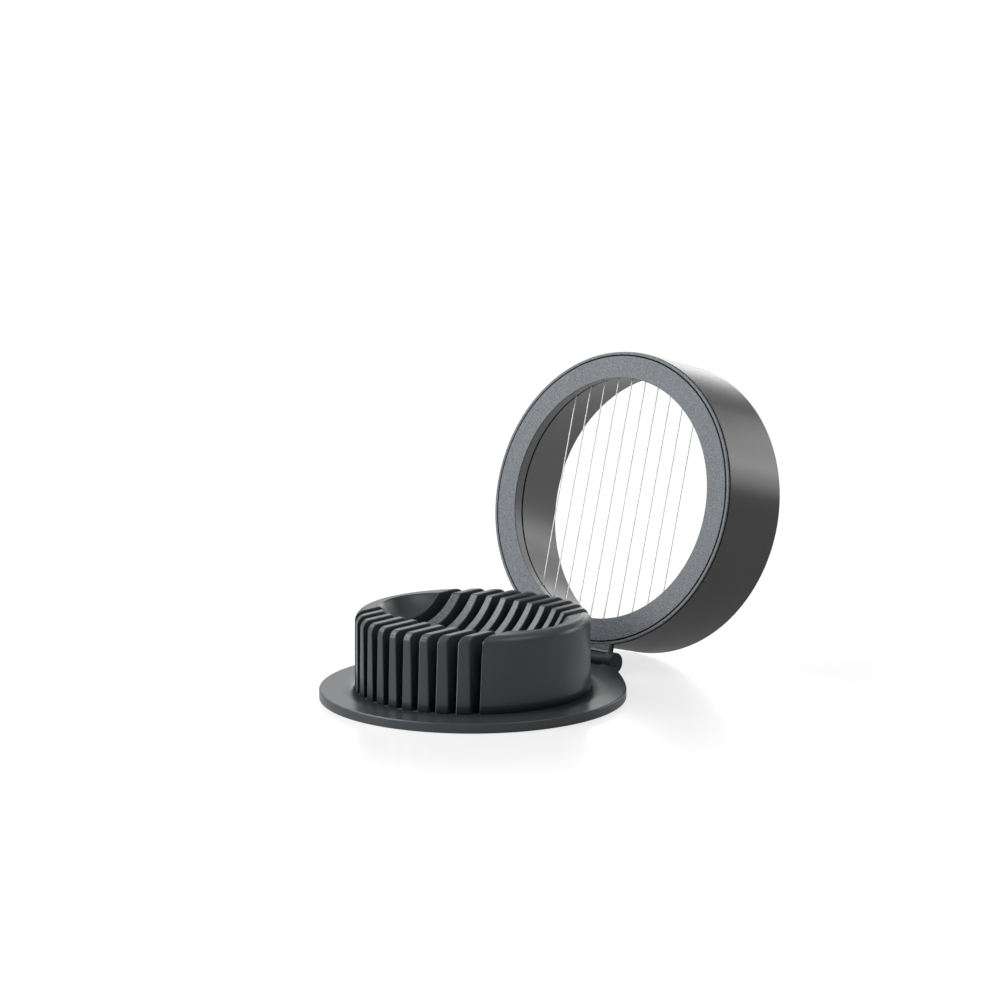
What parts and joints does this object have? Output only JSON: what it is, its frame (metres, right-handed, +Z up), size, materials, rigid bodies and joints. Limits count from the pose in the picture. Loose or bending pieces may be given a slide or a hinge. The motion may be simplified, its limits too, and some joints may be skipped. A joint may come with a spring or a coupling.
{
  "type": "egg slicer",
  "caption": "Round egg slicer: a plate with a slotted drum hollowed for an egg, and a deep ring strung with cutting wires hinged to its rear edge, swung open.",
  "frame": {"origin": "centre of the round plate's underside, on the table", "axes": "+Z up from the table, +Y from the plate's centre to the hinge, X along the hinge"},
  "size_m": [0.09, 0.1442, 0.0937],
  "materials": {
    "base_plastic": "fine moulded grain, charcoal",
    "cradle_plastic": "satin moulded, charcoal",
    "frame_plastic": "satin moulded, dark grey",
    "face_plastic": "speckled blue-grey, fine sparkle",
    "band_plastic": "smooth satin, warm dark grey",
    "pin_steel": "drawn",
    "wire_steel": "drawn bright",
    "stop_steel": "crimped"
  },
  "bodies": {
    "base": {"base_plate": "base_plastic", "egg_cradle": "cradle_plastic"},
    "lid": {"wire_frame": "frame_plastic", "clamp_ring": "face_plastic", "lid_band": "band_plastic", "hinge_pin": "pin_steel", "wire_01": "wire_steel", "wire_02": "wire_steel", "wire_03": "wire_steel", "wire_04": "wire_steel", "wire_05": "wire_steel", "wire_06": "wire_steel", "wire_07": "wire_steel", "wire_08": "wire_steel", "wire_09": "wire_steel", "wire_10": "wire_steel", "wire_stops_front": "stop_steel", "wire_stops_rear": "stop_steel"}
  },
  "joints": [
    {"name": "lid_hinge", "type": "hinge", "parent": "base", "child": "lid", "pos_m": [0, 0.049, 0.0032], "axis": [1, 0, 0], "range_deg": [0, 105.37]}
  ]
}
